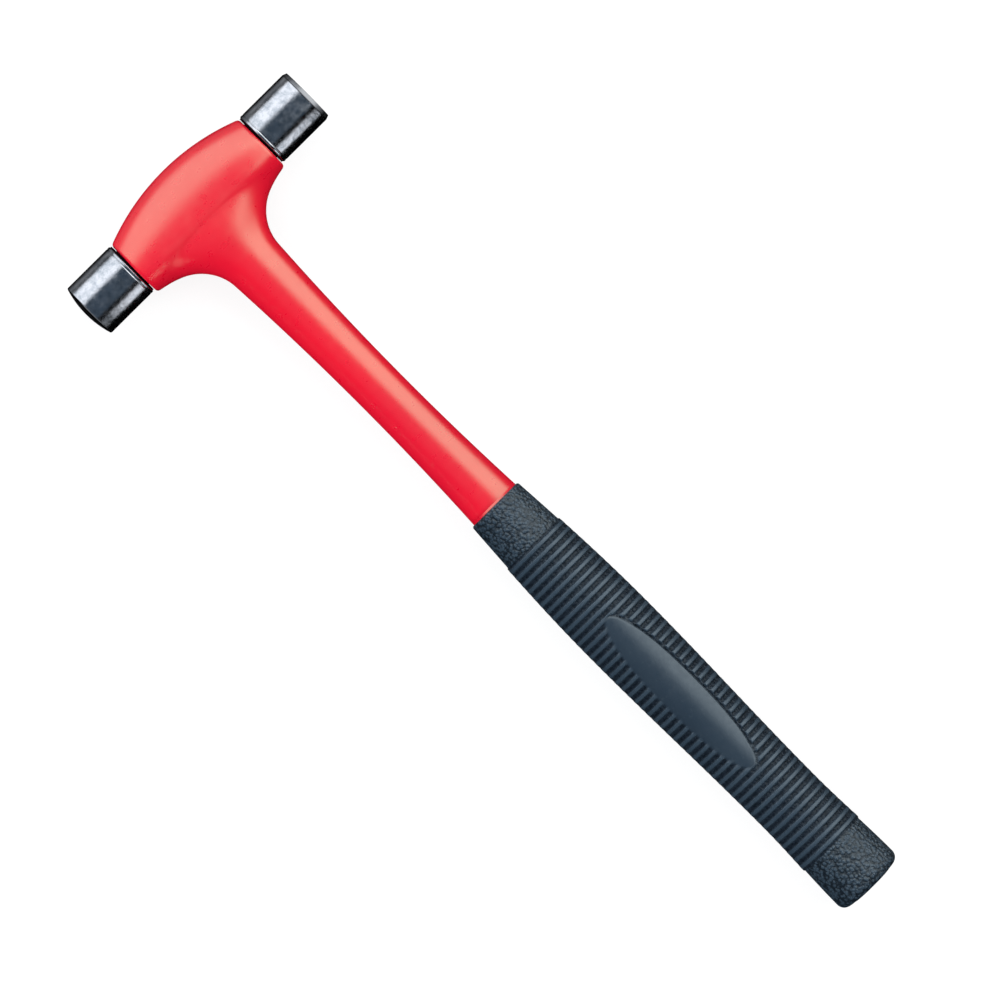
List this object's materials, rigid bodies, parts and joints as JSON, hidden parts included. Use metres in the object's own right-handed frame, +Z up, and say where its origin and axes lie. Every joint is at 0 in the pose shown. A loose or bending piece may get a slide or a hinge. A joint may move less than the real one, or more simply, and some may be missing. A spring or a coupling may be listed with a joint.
{
  "type": "dead-blow hammer",
  "caption": "Hammer with a steel striking face at each end of the head, a moulded red urethane cover over head and shaft, and a ribbed black rubber grip.",
  "frame": {"origin": "on the surface that the hammer lies on, under the middle of its overall length and of its head", "axes": "+X along the head to the flat face, +Y along the handle to the top of the head, +Z up from the surface"},
  "size_m": [0.111, 0.3576, 0.0268],
  "materials": {
    "urethane": "satin moulded red urethane",
    "grip_rubber": "blue-black moulded rubber, pebbled bands and ribs",
    "face_steel": "polished steel",
    "tube_steel": "plain drawn steel",
    "shot_steel": "plain steel shot"
  },
  "bodies": {
    "hammer": {"urethane_cover": "urethane", "rubber_grip": "grip_rubber", "flat_face": "face_steel", "crowned_face": "face_steel", "canister_tube": "tube_steel", "rod_socket": "tube_steel", "core_rod": "tube_steel", "flat_face_pin": "tube_steel", "crowned_face_pin": "tube_steel", "rod_pin": "tube_steel"},
    "shot_charge": {"shot_01": "shot_steel", "shot_02": "shot_steel", "shot_03": "shot_steel", "shot_04": "shot_steel", "shot_05": "shot_steel", "shot_06": "shot_steel", "shot_07": "shot_steel", "shot_08": "shot_steel", "shot_09": "shot_steel", "shot_10": "shot_steel", "shot_11": "shot_steel", "shot_12": "shot_steel", "shot_13": "shot_steel", "shot_14": "shot_steel", "shot_15": "shot_steel", "shot_16": "shot_steel", "shot_17": "shot_steel", "shot_18": "shot_steel", "shot_19": "shot_steel", "shot_20": "shot_steel", "shot_21": "shot_steel", "shot_22": "shot_steel", "shot_23": "shot_steel", "shot_24": "shot_steel", "shot_25": "shot_steel", "shot_26": "shot_steel", "shot_27": "shot_steel", "shot_28": "shot_steel"}
  },
  "joints": [
    {"name": "shot_travel", "type": "slide", "parent": "hammer", "child": "shot_charge", "axis": [1, 0, 0], "range_m": [-0.0054, 0.0054]}
  ]
}
